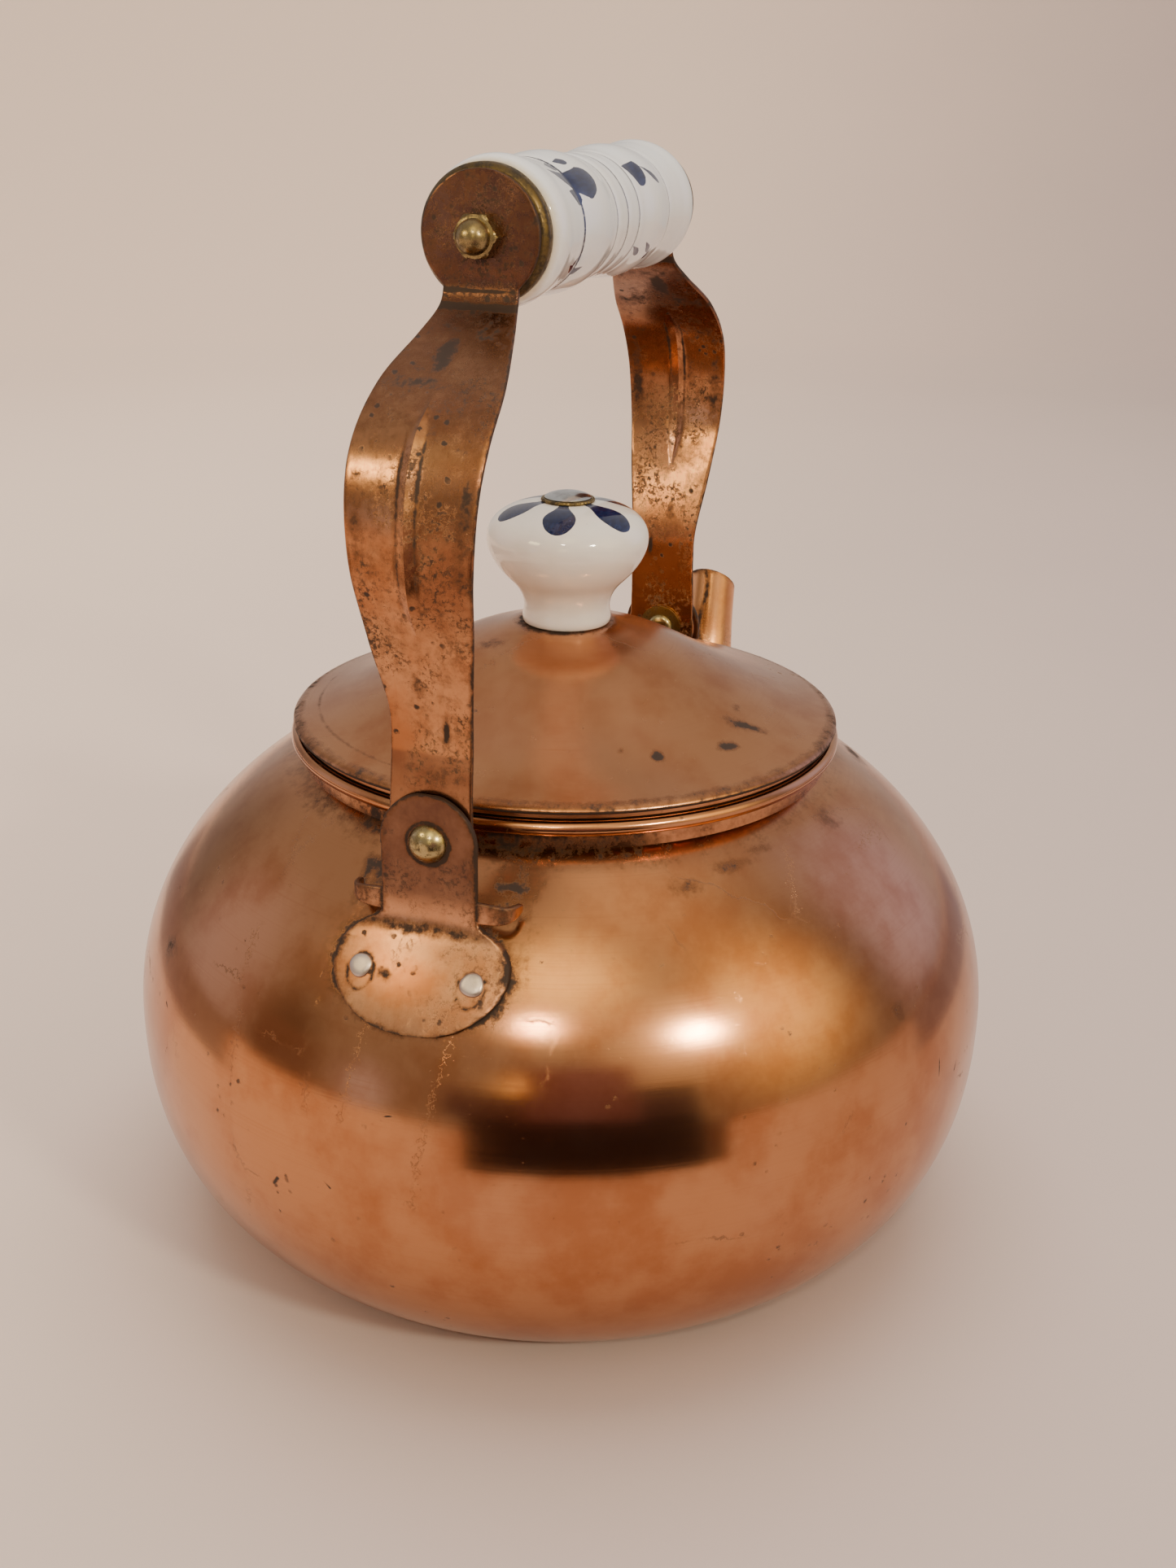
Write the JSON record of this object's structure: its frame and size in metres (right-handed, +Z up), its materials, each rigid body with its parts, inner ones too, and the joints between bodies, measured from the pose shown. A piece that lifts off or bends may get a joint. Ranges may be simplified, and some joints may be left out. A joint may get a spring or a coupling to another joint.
{
  "type": "stovetop kettle",
  "caption": "Squat round copper stovetop kettle with an open gooseneck spout, lift-off lid with a porcelain knob, and a folding handle with a porcelain grip.",
  "frame": {"origin": "centre of the flat standing face, on the body's axis", "axes": "+Z up along the body's axis, +X towards the spout, the handle's hinge axis runs along X"},
  "size_m": [0.21, 0.18, 0.2188],
  "materials": {
    "copper": "satin spun copper, tarnished",
    "porcelain": "white glaze with painted blue leaves",
    "brass": "aged",
    "dark_brass": "dark aged",
    "rivet_aluminium": "dull",
    "steel": "plain",
    "nickel": "polished, worn"
  },
  "bodies": {
    "kettle": {"body_shell": "copper", "spout": "copper", "rear_bracket": "copper", "front_bracket": "copper", "rear_bracket_rivets": "rivet_aluminium", "front_bracket_rivets": "rivet_aluminium", "rear_pivot_rivet": "brass", "front_pivot_rivet": "brass", "rear_pivot_washer": "brass", "front_pivot_washer": "brass"},
    "handle": {"rear_strap": "copper", "front_strap": "copper", "rear_grip_cap": "dark_brass", "front_grip_cap": "dark_brass", "grip": "porcelain", "tie_rod": "steel", "rear_acorn_nut": "brass", "front_acorn_nut": "brass"},
    "lid": {"lid_dome": "copper", "lid_collar": "copper", "knob": "porcelain", "knob_bezel": "dark_brass", "knob_screw": "nickel", "knob_washer": "steel", "knob_nut": "steel"}
  },
  "joints": [
    {"name": "handle_fold", "type": "hinge", "parent": "kettle", "child": "handle", "pos_m": [0, 0, 0.1071], "axis": [1, 0, 0], "range_deg": [-98, 98]},
    {"name": "lid_lift", "type": "slide", "parent": "kettle", "child": "lid", "axis": [0, 0, 1], "range_m": [0, 0.035]}
  ]
}
